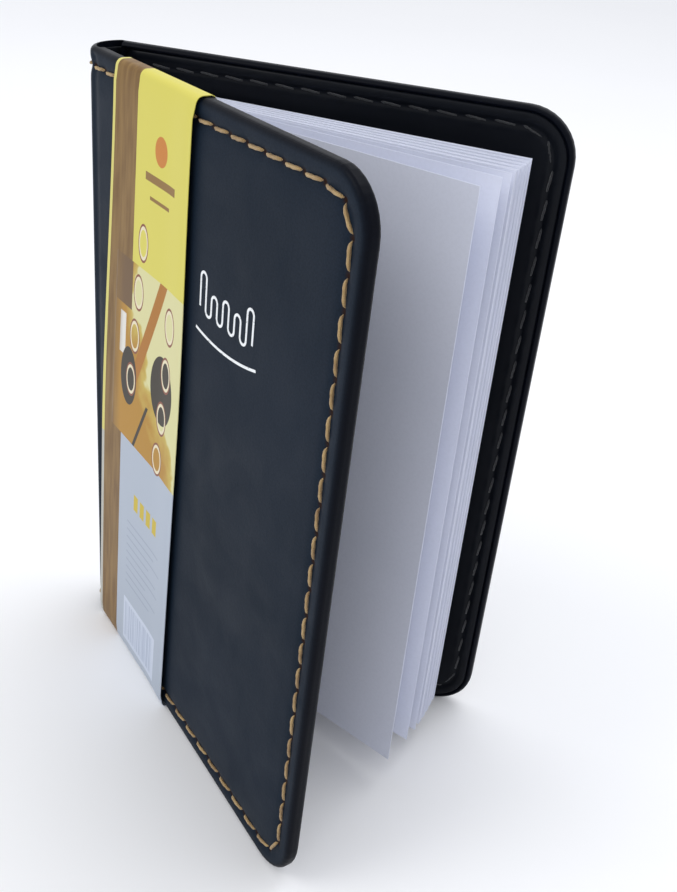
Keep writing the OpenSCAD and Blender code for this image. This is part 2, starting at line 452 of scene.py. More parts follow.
def rescale(tree, value, low, high, new_low, new_high):
    """Takes a value from one range to another, and holds it at the ends."""
    return add(tree, "MapRange", {0: value, 1: low, 2: high, 3: new_low, 4: new_high}).outputs[0]


def per(mm):
    """A texture scale that gives features about this many millimetres across."""
    return 1 / (mm * MM)


def cloud(tree, place, mm, detail, distortion=0.0):
    """Noise with features about this many millimetres across."""
    settings = {"Vector": place, "Scale": per(mm), "Detail": detail, "Distortion": distortion}
    return add(tree, "TexNoise", settings).outputs["Fac"]


def mark(tree, name, output="Fac"):
    return add(tree, "Attribute", attribute_name=name).outputs[output]


def object_place(tree):
    return add(tree, "TexCoord").outputs["Object"]


def greys(tree, value, first, second):
    """A grey between two stops, each a value and its grey."""
    node = add(tree, "ValToRGB", {0: value})
    for element, (place, grey) in zip(node.color_ramp.elements, (first, second)):
        element.position = place
        element.color = (grey, grey, grey, 1)
    return node.outputs[0]


def rgba(setting):
    return tuple(setting) + (1.0,)


def relief(tree, surface, height, strength, mm):
    """Presses a height this deep into the surface, on top of any relief it has."""
    bump = add(tree, "Bump", {"Strength": strength, "Distance": mm * MM, "Height": height})
    normal = surface.inputs["Normal"]
    if normal.is_linked:
        tree.links.new(normal.links[0].from_socket, bump.inputs["Normal"])
    tree.links.new(bump.outputs[0], normal)


def cover_leather(look):
    """Polyurethane-coated leathercloth: a soft satin skin with a fine pressed grain."""
    mat, t, surface = new_material(
        "Leathercloth PU satin", Roughness=0.5, IOR=1.46, Specular_IOR_Level=0.07)
    lay, rim, hole = mark(t, "lay", "Vector"), mark(t, "rim"), mark(t, "hole")
    # Pressed grain: 0.7 mm pebbles with 0.3 mm pores, and patches where handling has dulled it.
    cells = {"Vector": lay, "Scale": per(0.7)}
    pebble = add(t, "TexVoronoi", cells, feature="SMOOTH_F1").outputs["Distance"]
    pores = cloud(t, lay, 0.3, 3.0)
    patches = greys(t, cloud(t, lay, 30, 2.0), (0.3, 0.0), (0.75, 1.0))
    base = mix(t, patches, rgba(look.leather), rgba(look.leather_light))
    # Painted shade: the rolled edges and the leather's inner side are darkened towards a blue-black.
    base = mix(t, greys(t, rim, (0.15, 0.0), (1.0, 1.0)), base, rgba(look.leather_edge))
    base = mix(t, greys(t, pores, (0.35, 0.25), (0.6, 0.0)), base, linear("000000"))
    # Partly the brown cut backing and partly painted shade: the stitch holes are darkened to a dark
    # brown.
    base = mix(t, greys(t, hole, (0.2, 0.0), (0.75, 1.0)), base, linear("28150A"))
    t.links.new(base, surface.inputs["Base Color"])
    # Handled patches vary the gloss, and the rolled edges are rubbed smoother.
    rough = rescale(t, cloud(t, lay, 9, 4.0, 0.6), 0.3, 0.7, 0.44, 0.56)
    worn = calc(t, "SUBTRACT", rough, calc(t, "MULTIPLY", rim, 0.12))
    t.links.new(worn, surface.inputs["Roughness"])
    relief(t, surface, calc(t, "ADD", pebble, pores), 0.3, 0.04)
    return mat


def lining_skin(look):
    """Smooth PU lining cloth: nearly black, glossier than the cover, faintly rippled."""
    mat, t, surface = new_material(
        "Lining PU smooth", Roughness=0.36, IOR=1.46, Specular_IOR_Level=0.1)
    lay = mark(t, "lay", "Vector")
    patches = cloud(t, lay, 16, 2.0)
    base = mix(t, patches, rgba(look.lining), rgba(look.lining_light))
    t.links.new(base, surface.inputs["Base Color"])
    t.links.new(rescale(t, patches, 0.3, 0.7, 0.3, 0.44), surface.inputs["Roughness"])
    # Ripples 12 mm across, and the weave of the backing showing through.
    relief(t, surface, cloud(t, lay, 12, 1.0), 0.4, 0.4)
    relief(t, surface, cloud(t, lay, 0.5, 2.0), 0.25, 0.03)
    return mat


def spun_thread(name, colour, dark):
    """Bonded polyester thread: three plies laid together, slightly fuzzy between them."""
    mat, t, surface = new_material(
        name, Roughness=0.6, IOR=1.5, Sheen_Weight=0.25, Sheen_Roughness=0.5)
    uv = add(t, "UVMap", uv_map="ply").outputs[0]
    wave = {"Vector": uv, "Scale": 3.0, "Distortion": 1.0, "Detail": 2.0}
    fibre = add(t, "TexWave", wave, wave_type="BANDS", bands_direction="DIAGONAL").outputs["Fac"]
    # Painted shade: the twist's grooves between the plies darken towards the second colour, with random
    # patches as well.
    shade = calc(t, "MULTIPLY", fibre, cloud(t, object_place(t), 3, 2.0))
    base = mix(t, greys(t, shade, (0.05, 0.0), (0.5, 1.0)), dark, colour)
    t.links.new(base, surface.inputs["Base Color"])
    relief(t, surface, fibre, 0.6, 0.08)
    return mat


def page_paper(look):
    """Woodfree offset paper, cut by guillotine: matt, cool white, barely mottled."""
    mat, t, surface = new_material(
        "Offset paper", Roughness=0.85, IOR=1.45, Specular_IOR_Level=0.25)
    place = object_place(t)
    fibre, mottle = cloud(t, place, 0.5, 4.0), cloud(t, place, 18, 2.0)
    base = mix(t, mottle, rgba(look.paper), rgba(look.paper_shade))
    base = mix(t, greys(t, fibre, (0.4, 0.06), (0.55, 0.0)), base, rgba(look.paper_fibre))
    t.links.new(base, surface.inputs["Base Color"])
    relief(t, surface, fibre, 0.2, 0.02)
    return mat


def carried_material(name, colour, dark, grain_mm, rough, depth_mm, weave=False):
    """A plain inner material that shows its make: fibres, weave or set glue."""
    mat, t, surface = new_material(name, Roughness=rough, IOR=1.45)
    place = object_place(t)
    if weave:
        # A wave texture repeats about twenty times to a unit of its scale.
        wave = {"Vector": place, "Scale": per(grain_mm) / 20, "Distortion": 0.3}
        warp, weft = (
            add(t, "TexWave", wave, bands_direction=axis).outputs["Fac"] for axis in ("Z", "X"))
        grain = calc(t, "MAXIMUM", warp, weft)
    else:
        grain = cloud(t, place, grain_mm, 5.0)
    base = mix(t, greys(t, grain, (0.3, 0.0), (0.7, 1.0)), linear(dark), linear(colour))
    t.links.new(base, surface.inputs["Base Color"])
    relief(t, surface, grain, 0.5, depth_mm)
    return mat


def inside_box(t, x, y, left, right, low, high):
    """1 inside a rectangle, in millimetres, 0 outside it."""
    total = calc(t, "GREATER_THAN", x, left)
    for operation, value, limit in (
        ("LESS_THAN", x, right), ("GREATER_THAN", y, low), ("LESS_THAN", y, high),
    ):
        total = calc(t, "MULTIPLY", total, calc(t, operation, value, limit))
    return total


def inside_ring(t, x, y, cx, cy, r, half, squash=1.0):
    """1 on a ring of radius r, half this wide each way, in millimetres. With r 0 it is a disc."""
    dx = calc(t, "SUBTRACT", x, cx)
    dy = calc(t, "MULTIPLY", calc(t, "SUBTRACT", y, cy), squash)
    square = calc(t, "MULTIPLY_ADD", dy, dy, calc(t, "MULTIPLY", dx, dx))
    return calc(t, "COMPARE", calc(t, "SQRT", square), r, half)


def printed_band(look):
    """Coated art paper, offset printed: flat inks under a thin varnish."""
    mat, t, surface = new_material(
        "Coated art paper, printed", Roughness=0.42, IOR=1.5, Specular_IOR_Level=0.15)
    lay = mark(t, "lay", "Vector")
    # In millimetres: x from the crease, w inwards and y up from the cover's foot.
    x, w, y = (calc(t, "MULTIPLY", axis, 1 / MM) for axis in add(t, "SeparateXYZ", {0: lay}).outputs)
    split, panel_low, panel_high = 15.4, 49.6, 84.3
    left, right, foot, head = -10, 60, -5, 200    # past the paper on every side

    def ink(under, colour, *sides, across=x):
        """A rectangle of ink over a colour: its left, right, low and high sides."""
        over = linear(colour) if isinstance(colour, str) else colour
        return mix(t, inside_box(t, across, y, *sides), under, over)

    # Wood-like strip down the left, with 1.2 mm rays.
    along = add(t, "Mapping", {"Vector": lay, "Scale": (1, 1, 0.12)}).outputs[0]
    rays = greys(t, cloud(t, along, 1.2, 4.0), (0.35, 0.0), (0.65, 1.0))
    wood = mix(t, rays, linear("6F5229"), linear("85683B"))

    # Picture panel: gold hazing to cream, with two slanted bars, a brown block, a pale card and
    # two dark ovals.
    dark = "383228"
    height, side = rescale(t, y, 50.0, 78.0, 0.0, 0.8), rescale(t, x, 12.0, 34.0, -0.5, 0.45)
    glow = calc(t, "ADD", calc(t, "ADD", height, side), cloud(t, lay, 9, 3.0))
    picture = mix(t, greys(t, glow, (0.75, 0.0), (1.2, 1.0)), linear("AB7F2C"), linear("C2B058"))
    picture = mix(t, greys(t, glow, (0.95, 0.0), (1.35, 1.0)), picture, linear("D0CC98"))
    leaning = calc(t, "SUBTRACT", x, calc(t, "MULTIPLY", y, 0.5))
    picture = ink(picture, "A56D27", -15.4, -12.6, 60, 90, across=leaning)
    picture = ink(picture, dark, -7.0, -6.1, 46, 60, across=leaning)
    picture = ink(picture, "6B5236", 5, 15.8, 75.5, 90)
    picture = ink(picture, "D8D6CE", 11.2, 13.6, 66, 74)
    for cx, cy, wide, squash in ((15.4, 62.6, 3.3, 0.58), (28.8, 65.8, 4.4, 0.7)):
        picture = mix(t, inside_ring(t, x, y, cx, cy, 0, wide, squash), picture, linear(dark))

    # The panels: grey-white at the foot, the picture, yellow above it, and the strip beside them.
    colour = ink(linear("A9B2BF"), rgba(look.band_yellow), split, right, panel_high, head)
    colour = ink(colour, picture, 9, right, panel_low, panel_high)
    fade = rescale(t, x, 8.5, 12.5, 1.0, 0.0)
    beside = inside_box(t, x, y, left, 16, panel_low, panel_high)
    colour = mix(t, calc(t, "MULTIPLY", fade, beside), colour, wood)
    colour = ink(colour, wood, left, 13, foot, panel_low)
    colour = ink(colour, wood, left, split, panel_high, head)
    edge_line = ink(linear("B4B3AA"), "CFC670", left, right, 46, head)
    colour = ink(colour, edge_line, left, 5.6, foot, head)

    # Generic marks: a disc over two bars, ovals, plain rules and a block of bars.
    colour = mix(t, inside_ring(t, x, y, 25.3, 104.6, 0, 2.3), colour, linear("C07A35"))
    for sides in ((19.6, 31.0, 99.2, 100.5), (21.6, 29.0, 96.4, 97.0)):
        colour = ink(colour, "8A6A3A", *sides)
    for cx, cy in ((19.6, 88.6), (18.4, 79.6), (17.4, 71.2), (16.4, 62.4),
                   (31.0, 78.3), (30.2, 69.4), (29.2, 60.8), (28.2, 52.2)):
        for r, half, shade in ((1.7, 0.3, "DDD3B4"), (1.9, 0.13, "84503E")):
            colour = mix(t, inside_ring(t, x, y, cx, cy, r, half, 0.62), colour, linear(shade))
    for i, end in enumerate((31, 29, 32, 27, 30.5, 31.5, 26, 31, 28)):
        colour = ink(colour, "969FB0", 17, end, 32.0 - 1.8 * i, 32.3 - 1.8 * i)
    for i in range(4):
        colour = ink(colour, "C2AC3A", 19.6 + 2.7 * i, 21.4 + 2.7 * i, 36.2, 39.6)
    spacing = {"W": calc(t, "MULTIPLY", x, 2.2), "Scale": 1.0, "Detail": 0.0}
    bars = add(t, "TexNoise", spacing, noise_dimensions="1D").outputs["Fac"]
    bar = calc(t, "GREATER_THAN", bars, 0.5)
    code = calc(t, "MULTIPLY", bar, inside_box(t, x, y, 17.3, 30.7, 3.6, 12.4))
    colour = ink(colour, "C3CBDA", 16.5, 31.5, 2.6, 13.4)
    colour = mix(t, code, colour, linear("A9B3C6"))

    # The back of the paper is unprinted, from just past the folds.
    colour = mix(t, calc(t, "GREATER_THAN", w, 2.35), colour, linear("D7D8DA"))
    t.links.new(colour, surface.inputs["Base Color"])
    relief(t, surface, cloud(t, lay, 0.6, 3.0), 0.12, 0.02)
    return mat


def stamped_foil(look):
    """Hot-stamped pigment foil: opaque white with a slight gloss and pinholes."""
    mat, t, surface = new_material("Pigment foil, stamped", Roughness=0.4, IOR=1.5)
    speck = cloud(t, object_place(t), 0.35, 3.0)
    base = mix(t, greys(t, speck, (0.3, 0.0), (0.38, 1.0)), linear("8E959D"), rgba(look.foil))
    t.links.new(base, surface.inputs["Base Color"])
    relief(t, surface, speck, 0.3, 0.02)
    return mat


# ---------------------------------------------------------------- settings

def colour_setting(name, description, code):
    return bpy.props.FloatVectorProperty(
        name=name, description=description, subtype="COLOR", size=3, min=0, max=1,
        default=linear(code)[:3])


def length_setting(name, description, mm, low, high):
    return bpy.props.FloatProperty(
        name=name, description=description, subtype="DISTANCE", unit="LENGTH",
        default=mm * MM, min=low * MM, max=high * MM, precision=5)


class NotebookColours(bpy.types.PropertyGroup):
    """Colours of the notebook's materials."""
    leather: colour_setting("Cover", "Colour of the covers and spine", "17212D")
    leather_light: colour_setting("Cover, lighter", "Colour of its lighter patches", "1B2532")
    # Painted shade: the blue-black that darkens the rolled edges and the leather's inner side.
    leather_edge: colour_setting("Cover edge", "Colour of the rolled edges", "070A13")
    lining: colour_setting("Lining", "Colour of the lining", "0B0D12")
    lining_light: colour_setting("Lining, lighter", "Colour of its lighter patches", "11141A")
    thread: colour_setting("Edge thread", "Colour of the thread on the outside", "DCBC7C")
    # Painted shade: the colour in the grooves between the edge thread's plies.
    thread_dark: colour_setting("Edge thread, shade", "Colour between the thread's plies", "6A4214")
    inner_thread: colour_setting("Lining thread", "Colour of the thread on the inside", "1A1D24")
    paper: colour_setting("Pages", "Colour of the paper", "DDE0EE")
    paper_shade: colour_setting("Pages, mottle", "Colour of the paper's mottle", "D6DAE9")
    paper_fibre: colour_setting("Pages, fibre", "Colour of fibres in the paper", "B4B8C6")
    band_yellow: colour_setting("Band", "Colour of the band's top panel", "CFC65C")
    foil: colour_setting("Foil", "Colour of the stamped foil", "E9ECEE")


class NotebookSizes(bpy.types.PropertyGroup):
    """Sizes of the notebook's soft details."""
    thread_width: length_setting("Thread width", "Thickness of the edge thread", 0.62, 0.4, 1.2)
    stitch_length: length_setting("Stitch length", "Length of one visible stitch", 3.85, 2.5, 4.4)
    stitch_valley: length_setting("Stitch valley", "How deep the seam pulls in", 0.3, 0.0, 0.5)
    border_puff: length_setting("Border puff", "How far the inner border swells", 0.2, 0.0, 0.3)
    sheet_thickness: length_setting("Page thickness", "Thickness of one page", 0.09, 0.05, 0.12)
    band_lift: length_setting("Band lift", "How far the band stands off", 0.5, 0.0, 1.0)


def colours():
    return bpy.context.scene.notebook_colours


def sizes():
    return bpy.context.scene.notebook_sizes


MATERIALS = {}


def material(key, make):
    if key not in MATERIALS:
        MATERIALS[key] = make()
    return MATERIALS[key]


# ---------------------------------------------------------------- covers

def flat_cover(cover, name):
    """The outer material still laid flat: a rounded pad with a thin strip past the crease."""
    start = CREASE_R
    piece = block(name, (start, 0, 0), (WIDTH, THICK, cover.h))
    edit()
    round_edges(piece, lambda e: level(e, 0, WIDTH) and level(e, 2), CORNER, 10)
    round_edges(piece, lambda e: level(e, 1) and not level(e, 0, start), THICK * 0.36, 5)
    cut(1, [STRIP])
    pick(piece, "faces", lambda f: f.calc_center_median().x < start + NEAR
         and f.calc_center_median().y < STRIP)
    bpy.ops.mesh.extrude_region_move(TRANSFORM_OT_translate={"value": (cover.end_u - start, 0, 0)})
    close = CORNER * 0.9
    fine_step = 1.3 * MM
    cut(0, spread(cover.end_u, start, 1.1 * MM)
        + graded((start, WIDTH - close, WIDTH), (2.5 * MM, fine_step)))
    cut(2, graded((0, close, cover.h - close, cover.h), (fine_step, 2.3 * MM, fine_step)))
    leave()
    fine(piece, 2)
    remember_lay(piece)
    return piece


def shape_cover(cover, piece):
    """Swells, stitches down, wrinkles and dents the flat cover, then folds it into place."""
    size = sizes()
    nearest = near_holes(cover.holes(EDGE_SEAM_START), PITCH)
    rim = piece.data.attributes.new("rim", "FLOAT", "POINT")
    hole_shade_mark = piece.data.attributes.new("hole", "FLOAT", "POINT")
    half = THICK / 2
    for v in piece.data.vertices:
        u, w, z = v.co
        d = cover.edge_distance(u, z) if u > 0 else min(z, cover.h - z)
        p = Vector((u, w, z))
        face = ramp(d, 0.3 * MM, 1.6 * MM)
        on_cover = u > CREASE_R + NEAR
        outer = w < half if on_cover else w < STRIP / 2
        # The rim mark carries painted shade on the rolled edges and the inner side, and their smoother
        # gloss.
        rim.data[v.index].value = max(bell(d, 0.9 * MM), 0.0 if outer else 1.0)
        if outer:
            hole = bell(nearest(u, z), 0.5 * MM)
            # Marks the stitch holes for the painted shade in the material.
            hole_shade_mark.data[v.index].value = hole
            valley = size.stitch_valley * bell(d - INSET, 1.0 * MM)
            crease = 0.35 * MM * bell(u - 1.0 * MM, 1.0 * MM)
            swell = 0.03 * MM * bell(d - 2.0 * MM, 0.8 * MM)
            crown = 0.1 * MM * ramp(d, INSET + 0.6 * MM, INSET + 5 * MM) * ramp(u, 1 * MM, 7 * MM)
            ripple = 0.04 * MM * noise.noise(p / (2.6 * MM)) * bell(d - 2.6 * MM, 2.0 * MM)
            w += face * (valley + 0.3 * MM * hole + crease - swell - crown + ripple)
            if cover.front:
                # One shallow dent, wider than it is high.
                dent = math.hypot((u - 47 * MM) / 1.6, z - 36 * MM)
                w += 0.25 * MM * bell(dent, 5 * MM)
        elif on_cover:
            # The inner face sits back for the lining, and more so beside the crease.
            w -= ramp(d, 0.5 * MM, 1.3 * MM) * 0.5 * MM
            w -= ramp(u, 9 * MM, 1.0 * MM) * ramp(d, 0.8 * MM, 1.8 * MM) * 0.9 * MM
        v.co = (u, w, z)
    move_points(piece, cover.fold)
    turn_faces_out(piece)


class NOTEBOOK_OT_covers(bpy.types.Operator):
    """Builds the outer material of both covers, each with its half of the spine"""
    bl_idname = "notebook.covers"
    bl_label = "Covers"

    def execute(self, context):
        leather = material("leather", lambda: cover_leather(colours()))
        for side, nodes in (
            ("rear", ("rear_outer_skin",)),
            ("front", ("front_outer_skin", "spine_outer_skin")),
        ):
            cover = COVERS[side]
            piece = flat_cover(cover, f"{side}_cover_leather")
            shape_cover(cover, piece)
            finish_piece(piece, leather, stands_for=nodes, angle=50)
            join_at_crease(piece, cover, 0.5 * MM)
        return {"FINISHED"}


# ---------------------------------------------------------------- lining

def lining_depth(u):
    """Depth of the lining's hidden face: level on the cover, dropping to the crease."""
    at_crease = STRIP + 0.03 * MM
    on_cover = 2.16 * MM - 0.08 * MM * ramp(u, 9.5 * MM, 8 * MM)
    return at_crease + (on_cover - at_crease) * ramp(u, 0.6 * MM, 4.5 * MM)


def flat_lining(cover, name):
    """The lining still laid flat: a thin sheet with rounded corners and a softened edge."""
    start, far = cover.end_u, WIDTH - BORDER
    low, high = BORDER, cover.h - BORDER
    piece = block(name, (start, 0, low), (far, LINING_THICK, high))
    edit()
    round_edges(piece, lambda e: level(e, 0, far) and level(e, 2), CORNER - BORDER, 8)
    round_edges(piece, lambda e: level(e, 1, LINING_THICK) and not level(e, 0, start),
                LINING_THICK * 0.9, 3)
    close, fine_step = 4 * MM, 1 * MM
    cut(0, graded((start, close, far - close, far), (fine_step, 2.6 * MM, fine_step)))
    cut(2, graded((low, low + close, high - close, high), (fine_step, 2 * MM, fine_step)))
    leave()
    fine(piece, 2)
    remember_lay(piece)
    return piece


def shape_lining(cover, piece):
    """Swells and puckers the flat lining along its seam, then folds it into place."""
    puff = sizes().border_puff
    nearest = near_holes(cover.holes(LINING_SEAM_START), PITCH)
    border = INSET - 0.2 * MM - BORDER

    def shape(p):
        u, w, z = p
        d = cover.edge_distance(u, z) if u > 0 else min(z, cover.h - z)
        top = w / LINING_THICK
        w = lining_depth(u) + w
        if u > 1 * MM:
            # Between the seam and the edge the padding swells, and each stitch puckers it.
            hem = math.sin(math.pi * min(1, max(0, (d - BORDER) / border))) ** 0.8
            fold = noise.noise(Vector((u, 3, z)) / (1.5 * MM))
            fold += 0.6 * noise.noise(Vector((z, 9, u)) / (0.7 * MM))
            hole = nearest(u, z)
            pucker = bell(d - INSET - 0.55 * MM, 0.5 * MM) * (1 - bell(hole, 1.2 * MM))
            soft = 0.04 * MM * noise.noise(Vector((u, 7, z)) / (12 * MM))
            w += top * ramp(u, 1 * MM, 5 * MM) * (
                (puff + 0.06 * MM * fold) * hem + 0.1 * MM * pucker + soft
                - 0.18 * MM * bell(d - INSET, 0.4 * MM) - 0.08 * MM * bell(hole, 0.5 * MM))
        return cover.fold((u, w, z))

    move_points(piece, shape)
    turn_faces_out(piece)


class NOTEBOOK_OT_linings(bpy.types.Operator):
    """Builds the lining of both covers, each with its half of the spine's inside"""
    bl_idname = "notebook.linings"
    bl_label = "Linings"

    def execute(self, context):
        skin = material("lining", lambda: lining_skin(colours()))
        for side, nodes in (
            ("rear", ("rear_inner_liner",)),
            ("front", ("front_inner_liner", "spine_inner_liner")),
        ):
            cover = COVERS[side]
            piece = flat_lining(cover, f"{side}_lining")
            shape_lining(cover, piece)
            finish_piece(piece, skin, stands_for=nodes, angle=50)
            join_at_crease(piece, cover, 0.8 * MM)
        return {"FINISHED"}


# ---------------------------------------------------------------- threads

def one_stitch(length, width):
    """A single stitch: three twisted plies that dip into the cover at both ends."""
    start_fresh()
    bpy.ops.mesh.primitive_cylinder_add(
        vertices=12, radius=width / 2, depth=length, end_fill_type="TRIFAN")
    piece = bpy.context.object
    edit()
    cut(2, spread(-length / 2, length / 2, length / 10))
    leave()
    uv = piece.data.uv_layers.new(name="ply")
    for loop in piece.data.loops:
        co = piece.data.vertices[loop.vertex_index].co
        uv.data[loop.index].uv = (math.atan2(co.y, co.x) / math.pi, co.z / width)

    def shape(p):
        along = p.z / (length / 2)
        a, r = math.atan2(p.y, p.x), math.hypot(p.x, p.y)
        lobes = 0.86 + 0.14 * math.cos(3 * (a - 2.6 * along))
        end = math.sqrt(max(0.04, 1 - abs(along) ** 7))
        r *= lobes * end
        dip = width * (0.3 * along**2 + 0.45 * along**8)
        return Vector((p.z, r * math.sin(a) + dip, r * math.cos(a)))

    move_points(piece, shape)
    return piece


def sew(name, matrices, length, width, thread, body, nodes):
    """Copies one stitch to every place and joins the copies into a thread."""
    first = one_stitch(length, width)
    copies = []
    for m in matrices:
        copy = first.copy()
        copy.data = first.data.copy()
        put_in_scene(copy)
        copy.data.transform(m)
        copies.append(copy)
    piece = join(copies, name)
    bpy.data.objects.remove(first)
    turn_faces_out(piece)
    return finish_piece(piece, thread, body, 60, nodes)


def stitch_places(cover, start, depth, slant):
    """A matrix for every stitch on a cover, at a depth below its outer face."""
    places = []
    for u, z, turn in cover.stitches(start):
        places.append(
            cover.place @ Matrix.Translation((u, depth + cover.warp(u, z), z))
            @ Matrix.Rotation(-turn - math.radians(slant), 4, "Y"))
    return places


def spine_places(z):
    """A matrix for both stitches across the spine at a height, one on each side of its middle."""
    places = []
    r = SPINE_R - 0.1 * MM
    for turn in (-19.6, 19.6):
        a = math.radians(turn)
        out = Vector((-math.cos(a), math.sin(a), 0))
        along = Vector((math.sin(a), math.cos(a), 0))
        m = Matrix((along, -out, Vector((0, 0, 1)))).transposed().to_4x4()
        m.translation = SPINE_CENTRE + out * r + Vector((0, 0, z))
        places.append(m @ Matrix.Rotation(math.radians(6), 4, "Y"))
    return places


class NOTEBOOK_OT_threads(bpy.types.Operator):
    """Sews the edge thread outside and the lining thread inside"""
    bl_idname = "notebook.threads"
    bl_label = "Threads"

    def execute(self, context):
        look, size = colours(), sizes()
        # Each thread's second colour is painted shade in the grooves between its plies.
        golden = material("golden", lambda: spun_thread(
            "Bonded polyester thread, golden", rgba(look.thread), rgba(look.thread_dark)))
        dark = material("dark thread", lambda: spun_thread(
            "Bonded polyester thread, dark", rgba(look.inner_thread), linear("14161A")))
        for side in ("rear", "front"):
            cover, body = COVERS[side], f"{side}_cover"
            outer = stitch_places(cover, EDGE_SEAM_START, 0.12 * MM, 4)
            sew(f"{side}_edge_stitches", outer, size.stitch_length, size.thread_width,
                golden, body, (f"{side}_edge_thread",))
            inner = [m @ Matrix.Rotation(math.pi, 4, "X")
                     for m in stitch_places(cover, LINING_SEAM_START, THICK - 0.2 * MM, -6)]
            sew(f"{side}_lining_stitches", inner, size.stitch_length, size.thread_width * 0.7,
                dark, body, (f"{side}_lining_thread",))
        for end, z in (("top", HEIGHT - INSET), ("bottom", INSET)):
            sew(f"spine_{end}_stitches", spine_places(z), size.stitch_length, size.thread_width,
                golden, "spine", (f"spine_{end}_thread",))
        return {"FINISHED"}


# ---------------------------------------------------------------- pages

def one_sheet(thickness):
    """A flat sheet of paper, x from its root and z up from its foot, cut for bending."""
    height = PAGE_HIGH.z - PAGE_LOW.z
    piece = block("sheet", (0, -thickness / 2, 0), (PAGE_WIDTH, thickness / 2, height))
    edit()
    cut(0, spread(0, PAGE_WIDTH, PAGE_WIDTH / 14))
    cut(2, spread(0, height, height / 8))
    leave()
    return piece


def leaves(name, joint, body, node, count, thickness, root_gap, fan_deg, curl, seed):
    """Sheets fanned evenly about a body's own angle at rest, joined into one piece."""
    hinge = JOINTS[joint]
    rest = math.radians(-hinge["range_deg"][0] - 0.02)
    root = Vector(hinge["pos_m"])
    sheets = []
    for i in range(count):
        sheet = one_sheet(thickness)
        offset = i - (count - 1) / 2
        fan = math.radians(fan_deg) * offset
        wave = noise.noise(Vector((seed, i * 0.73, 0.5)))
        short = 0.12 * MM * noise.noise(Vector((i * 1.31, seed, 2.5)))

        def shape(p, fan=fan, offset=offset, wave=wave, short=short):
            s = p.x / PAGE_WIDTH
            bend = curl * (s * s - s) + 0.04 * MM * wave * math.sin(math.pi * s)
            q = Vector((p.x * (1 + short / PAGE_WIDTH), p.y - bend - offset * root_gap, p.z))
            return Matrix.Rotation(-fan, 3, "Z") @ q

        move_points(sheet, shape)
        sheet.data.transform(
            Matrix.Translation((root.x, root.y, PAGE_LOW.z)) @ Matrix.Rotation(-rest, 4, "Z"))
        sheets.append(sheet)
    piece = join(sheets, name)
    paper = material("paper", lambda: page_paper(colours()))
    finish_piece(piece, paper, body, 30, (node,))
    return piece, root, rest


class NOTEBOOK_OT_pages(bpy.types.Operator):
    """Builds the three loose leaves and the five fanned sections"""
    bl_idname = "notebook.pages"
    bl_label = "Pages"

    def execute(self, context):
        t = sizes().sheet_thickness
        for i, curl in ((1, 1.0 * MM), (2, 0.85 * MM), (3, 0.7 * MM)):
            leaves(f"loose_leaf_{i}", f"leaf_{i}_hinge", f"leaf_{i}_turn", f"leaf_{i}",
                   1, t, 0, 0, curl, i)
        for i in range(1, 6):
            piece, root, rest = leaves(
                f"section_{i}_pages", f"section_{i}_hinge", f"section_{i}_turn", f"section_{i}",
                6, t * 0.72, 0.085 * MM, 0.07, 0.0, 10 + i)
            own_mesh(piece)
        return {"FINISHED"}


# ---------------------------------------------------------------- band, foil, inner layers

class NOTEBOOK_OT_band(bpy.types.Operator):
    """Wraps the printed paper band round the front cover"""
    bl_idname = "notebook.band"
    bl_label = "Paper band"

    def execute(self, context):
        cover = COVERS["front"]
        to_cover = cover.place.inverted()
        corners = [to_cover @ v.co for v in frame["nodes"]["band_outer_panel"].data.vertices]
        u0, u1 = min(c.x for c in corners), max(c.x for c in corners)
        tilt = (u1 - u0 - BAND_WIDTH) / cover.h
        left = u0 + tilt * cover.h / 2
        low = (left, -BAND_GAP, -BAND_GAP)
        high = (left + BAND_WIDTH, THICK + BAND_GAP, cover.h + BAND_GAP)
        piece = block("paper_band", low, high)
        edit()
        pick(piece, "faces", lambda f: abs(f.normal.x) > 0.9)
        bpy.ops.mesh.delete(type="ONLY_FACE")
        round_edges(piece, lambda e: not level(e, 0), 1 * MM, 6)
        cut(0, spread(left, left + BAND_WIDTH, 1.5 * MM))
        cut(2, spread(0, cover.h, 3 * MM))
        leave()
        lift = sizes().band_lift
        apply_modifier(piece, "SOLIDIFY", thickness=BAND_PAPER, offset=-1)
        remember_lay(piece)

        def shape(p):
            u, w, z = p
            share = (u - left) / BAND_WIDTH
            outer = ramp(w, THICK * 0.6, 0)
            inner = ramp(w, THICK * 0.4, THICK)
            middle = ramp(z, 0, 2.5 * MM) * ramp(z, cover.h, cover.h - 2.5 * MM)
            # The free side stands off the cover and the other a little, most between the folds.
            side = ramp(share, 0.72, 1.0) * lift + ramp(share, 0.15, 0.0) * lift * 0.3
            w -= outer * (0.28 * MM * middle + side * (0.5 + 0.5 * middle))
            w += inner * 0.12 * MM * middle
            u += tilt * (z - cover.h / 2)
            # Towards the top both sides draw in from the straight band.
            flare = (1 - share) ** 2 * ramp(z, 45 * MM, cover.h) * 3.0 * MM
            flare -= share * ramp(z, 60 * MM, cover.h) * 1.6 * MM
            return cover.place @ Vector((u + flare, w + cover.warp(u, z), z))

        move_points(piece, shape)
        turn_faces_out(piece)
        paper = material("band", lambda: printed_band(colours()))
        finish_piece(piece, paper, "band", 50,
                     ("band_outer_panel", "band_inner_panel", "band_top_fold", "band_bottom_fold"))
        return {"FINISHED"}


def follow_warp(node, cuts, proud=0.0):
    """A copy of a flat layer of the front cover, warped with it and standing a little proud."""
    cover = COVERS["front"]
    piece = bpy.data.objects.new(node + "_warped", frame["nodes"][node].data.copy())
    put_in_scene(piece)
    make_active(piece)
    piece.data.transform(cover.place.inverted())
    edit()
    bpy.ops.mesh.select_all(action="SELECT")
    bpy.ops.mesh.remove_doubles(threshold=0.0005 * MM)
    if cuts:
        cut(0, spread(0, WIDTH, cuts))
        cut(2, spread(0, cover.h, cuts))
    leave()

    def shape(p):
        return cover.place @ Vector((p.x, p.y - proud + cover.warp(p.x, p.z), p.z))

    move_points(piece, shape)
    return piece


